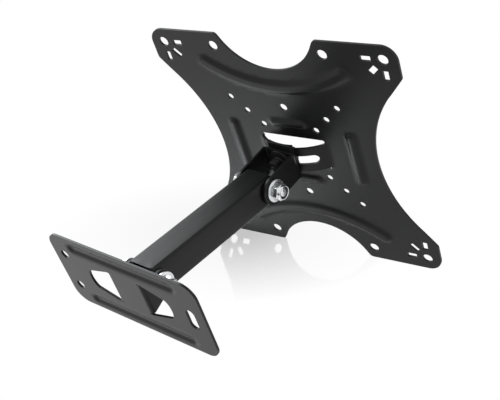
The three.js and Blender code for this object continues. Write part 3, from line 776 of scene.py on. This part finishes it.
def add_tilt_fasteners(seat):
    start = 52.25
    low = seat - 4.0
    dome = [(0.01, low), (4.0, low), (6.6, low + 0.5), (8.2, low + 1.5), (8.9, low + 2.6),
            (9.0, seat - 0.3), (8.7, seat), (4.0, seat)]
    head = turned(dome, closed=False)
    tip = start + WASHER_THICKNESS + SPRING_THICKNESS + TILT_NUT_HEIGHT + 0.5 + 2.5
    rod = flipped(threaded_rod(BOLT_RADIUS, -tip, -seat + 0.5, -start + 4.0, THREAD_PITCH))
    bolt_verts, bolt_faces = along_y(joined(head, rod))
    make_piece("tilt_bolt_turned", bolt_verts, bolt_faces, CLAMP, "clamp", ["tilt_bolt"], "black_oxide")
    flat = along_y(turned(rounded_ring(BORE, TILT_WASHER_RADIUS, start, start + WASHER_THICKNESS)))
    make_piece("tilt_flat_washer_turned", *flat, CLAMP, "clamp", ["tilt_flat_washer"], "black_oxide")
    low = start + 1.85
    count = 60
    spring_rings = []
    for i in range(count):
        angle = math.radians(6 + 348 * i / (count - 1))
        spring_rings.append([(r * math.cos(angle), r * math.sin(angle), z)
                             for r, z in rounded_ring(BORE, 7.2, low, low + SPRING_THICKNESS, 0.2)])
    verts, faces = rings_mesh(spring_rings, False)
    size = len(spring_rings[0])
    faces += [tuple(range(size)), tuple(reversed(range(size * (count - 1), size * count)))]
    make_piece("tilt_spring_washer_coil", *along_y((verts, faces)), CLAMP, "clamp", ["tilt_spring_washer"],
               "black_oxide")
    low = start + WASHER_THICKNESS + SPRING_THICKNESS + 0.5
    nut = along_y(turned(hex_profile(HEX_ACROSS_FLATS, low, low + TILT_NUT_HEIGHT, BORE, BORE), 72))
    make_piece("tilt_nut_hex", *nut, CLAMP, "clamp", ["tilt_nut"], "black_oxide")


# ---- swivel fasteners ----

def lock_nut(seat):
    """A hexagon with a thin round collar that grips the nylon ring."""
    top = seat + NUT_HEX_HEIGHT
    close = top + NUT_COLLAR_HEIGHT
    collar = [(6.15, top), (6.0, top + 0.4), (6.0, close - 0.9), (5.8, close - 0.3), (5.4, close),
              (5.0, close - 0.1), (4.85, close - 0.5), (5.4, close - 0.8), (5.4, close - 2.7),
              (BORE, close - 2.7)]
    return flipped(turned(hex_profile(HEX_ACROSS_FLATS, seat, top, 5.8, BORE)[:-1] + collar, 72))


def add_swivel_fasteners(prefix, ear, matrix, body):
    low = ear + PLAY
    seat = low + WASHER_THICKNESS + PLAY
    close = seat + NUT_HEX_HEIGHT + NUT_COLLAR_HEIGHT
    washer = turned(rounded_ring(BORE, WASHER_RADIUS, low, low + WASHER_THICKNESS))
    make_piece(prefix + "_washer_top", *washer, matrix, body, [prefix + "_head_washer"], "zinc")
    make_piece(prefix + "_washer_bottom", *flipped(washer), matrix, body, [prefix + "_nut_washer"], "zinc")
    flange = [(0.01, seat), (6.1, seat), (6.1, seat + 0.3)]
    hexagon = hex_profile(HEX_ACROSS_FLATS, seat + 0.3, seat + HEAD_HEIGHT)[1:]
    head = turned(flange + hexagon, 72, False)
    tip = 0.6 - close
    rod = threaded_rod(BOLT_RADIUS, tip, seat + 0.3, tip + 8.0, THREAD_PITCH)
    make_piece(prefix + "_bolt_turned", *joined(head, rod), matrix, body, [prefix + "_bolt"], "zinc")
    make_piece(prefix + "_nut_locking", *lock_nut(seat), matrix, body, [prefix + "_lock_nut"], "zinc")
    ring = flipped(turned(rounded_ring(BORE, 5.2, close - 2.55, close - 1.15, 0.2)))
    make_piece(prefix + "_nut_insert", *ring, matrix, body, [prefix + "_nut_ring"], "nylon")


def add_friction_washers(prefix, y, thickness):
    ring = turned(rounded_ring(BORE, 10.0, 12.75, 12.75 + thickness, min(0.2, thickness / 3)))
    upper = moved(ring, (0, y, 0))
    lower = moved(flipped(ring), (0, y, 0))
    make_piece(prefix + "_disc_upper", *upper, ARM, "arm", [prefix + "_friction_upper"], "nylon")
    make_piece(prefix + "_disc_lower", *lower, ARM, "arm", [prefix + "_friction_lower"], "nylon")


# ---- surroundings ----

def table_frame():
    normal = TABLE_NORMAL.normalized()
    side = normal.cross(CAMERA_UP).normalized()
    forward = normal.cross(side)
    place = normal * TABLE_OFFSET
    matrix = Matrix((side, forward, normal)).transposed().to_4x4()
    matrix.translation = place
    return matrix


def table_material():
    """Clear sheet that mirrors the mount faintly, most of all at its lowest corner, and never hides it."""
    n = Nodes("table_gloss")
    n.tree.nodes.remove(n.shader)
    apart = n.add("ShaderNodeVectorMath", operation="DISTANCE")
    n.link(n.coordinates(), apart.inputs[0])
    apart.inputs[1].default_value = LOWEST_CORNER
    strength = n.add("ShaderNodeMapRange")
    for name, value in (("From Min", 0.03), ("From Max", 0.17), ("To Min", 0.45), ("To Max", 0.0)):
        strength.inputs[name].default_value = value
    n.link(apart.outputs["Value"], strength.inputs["Value"])
    geometry = n.add("ShaderNodeNewGeometry")
    above = n.add("ShaderNodeMath", operation="SUBTRACT")
    above.inputs[0].default_value = 1.0
    n.link(geometry.outputs["Backfacing"], above.inputs[1])
    share = n.add("ShaderNodeMath", operation="MULTIPLY")
    n.link(strength.outputs["Result"], share.inputs[0])
    n.link(above.outputs["Value"], share.inputs[1])
    gloss = n.add("ShaderNodeBsdfGlossy")
    gloss.inputs["Roughness"].default_value = 0.09
    clear = n.add("ShaderNodeBsdfTransparent")
    mix = n.add("ShaderNodeMixShader")
    n.link(share.outputs["Value"], mix.inputs["Fac"])
    n.link(clear.outputs["BSDF"], mix.inputs[1])
    n.link(gloss.outputs["BSDF"], mix.inputs[2])
    n.link(mix.outputs["Shader"], n.output.inputs["Surface"])
    return n.material


def add_table():
    matrix = table_frame()
    corners = [(-1, -1), (1, -1), (1, 1), (-1, 1)]
    mesh = bpy.data.meshes.new("table")
    verts = [matrix @ Vector((x * TABLE_HALF, y * TABLE_HALF, 0.0)) for x, y in corners]
    mesh.from_pydata(verts, [], [(0, 1, 2, 3)])
    mesh.materials.append(table_material())
    table = bpy.data.objects.new("table", mesh)
    bpy.context.scene.collection.objects.link(table)


def add_world():
    """Even white surroundings, shown without tone compression so that white stays white."""
    bpy.context.scene.view_settings.view_transform = "Standard"
    world = bpy.data.worlds.new("studio")
    bpy.context.scene.world = world
    world.use_nodes = True
    background = world.node_tree.nodes["Background"]
    background.inputs["Color"].default_value = (1.0, 1.0, 1.0, 1.0)
    background.inputs["Strength"].default_value = 1.0


def add_area(name, offset, size, power, colour):
    """A softbox above the table, placed in the picture's own axes about the middle of the mount."""
    forward = CAMERA_FORWARD.normalized()
    up = CAMERA_UP.normalized()
    right = forward.cross(up)
    middle = Vector((0.01, -0.12, 0.0))
    data = bpy.data.lights.new(name, "AREA")
    data.shape = "RECTANGLE"
    data.size, data.size_y = size
    data.energy = power
    data.color = colour
    light = bpy.data.objects.new(name, data)
    light.location = middle + right * offset[0] + up * offset[1] - forward * offset[2]
    light.rotation_mode = "QUATERNION"
    light.rotation_quaternion = (middle - light.location).to_track_quat("-Z", "Y")
    bpy.context.scene.collection.objects.link(light)


def add_camera():
    data = bpy.data.cameras.new("camera")
    data.sensor_width = SENSOR_MM
    data.lens = LENS_MM
    data.clip_start = 0.01
    data.clip_end = 20.0
    camera = bpy.data.objects.new("camera", data)
    back = -CAMERA_FORWARD.normalized()
    right = CAMERA_UP.cross(back).normalized()
    up = back.cross(right)
    camera.matrix_world = Matrix.Translation(CAMERA_PLACE) @ Matrix((right, up, back)).transposed().to_4x4()
    bpy.context.scene.collection.objects.link(camera)
    bpy.context.scene.camera = camera


# ---- main ----


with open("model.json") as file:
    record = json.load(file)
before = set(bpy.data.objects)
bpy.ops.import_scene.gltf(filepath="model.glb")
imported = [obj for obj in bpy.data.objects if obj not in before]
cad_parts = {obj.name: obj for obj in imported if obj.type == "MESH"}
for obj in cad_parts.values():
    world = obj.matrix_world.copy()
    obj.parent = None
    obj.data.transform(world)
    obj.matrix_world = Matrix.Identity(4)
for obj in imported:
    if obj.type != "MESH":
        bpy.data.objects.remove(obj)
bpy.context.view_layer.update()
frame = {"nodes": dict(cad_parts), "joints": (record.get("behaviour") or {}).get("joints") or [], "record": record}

COAT = powder_coat("coat_charcoal", 0.004, (0.96, 1.0, 1.0), 0.36)
FINISHES = {
    "coated": COAT,
    "zinc": zinc_plate("zinc_bright"),
    "black_oxide": black_oxide("oxide_black"),
    "nylon": black_nylon("nylon_black"),
}
for subpart in frame["record"]["subparts"]:
    node = frame["nodes"][subpart["node"]]
    node.data.materials.clear()
    node.data.materials.append(FINISHES[subpart["material_slot"]])

WALL = turned_frame((0, 0, 0))
WALL_PIVOT = turned_frame(joint("wall_swivel")["pos_m"])
ARM = turned_frame(joint("wall_swivel")["pos_m"], (WALL_SWIVEL_REST, "Z"))
YOKE = turned_frame(joint("tv_swivel")["pos_m"], (WALL_SWIVEL_REST + TV_SWIVEL_REST, "Z"))
CLAMP = turned_frame(joint("tilt")["pos_m"], (WALL_SWIVEL_REST + TV_SWIVEL_REST, "Z"))
SCREEN = turned_frame(joint("tilt")["pos_m"], (WALL_SWIVEL_REST + TV_SWIVEL_REST, "Z"), (TILT_REST, "X"))

add_wall_plate()
add_arm_tube()
add_yoke()
add_clamp()
add_screen_plate()
add_swivel_fasteners("wall_swivel", WALL_EAR_FACE, WALL_PIVOT, "base")
add_swivel_fasteners("tv_swivel", YOKE_EAR_FACE, YOKE, "yoke")
add_friction_washers("wall", 0, WALL_DISC)
add_friction_washers("tv", -ARM_LENGTH, TV_DISC)

add_world()
add_table()
add_area("key", (-0.7, 0.8, -0.25), (0.7, 0.9), 14.0, (0.93, 0.98, 1.0))
add_area("side", (0.9, 0.5, 0.5), (0.3, 0.5), 0.35, (1.0, 0.99, 0.97))
add_area("bounce", (-0.75, -0.6, -0.35), (0.5, 0.5), 0.7, (1.0, 1.0, 1.0))
add_camera()
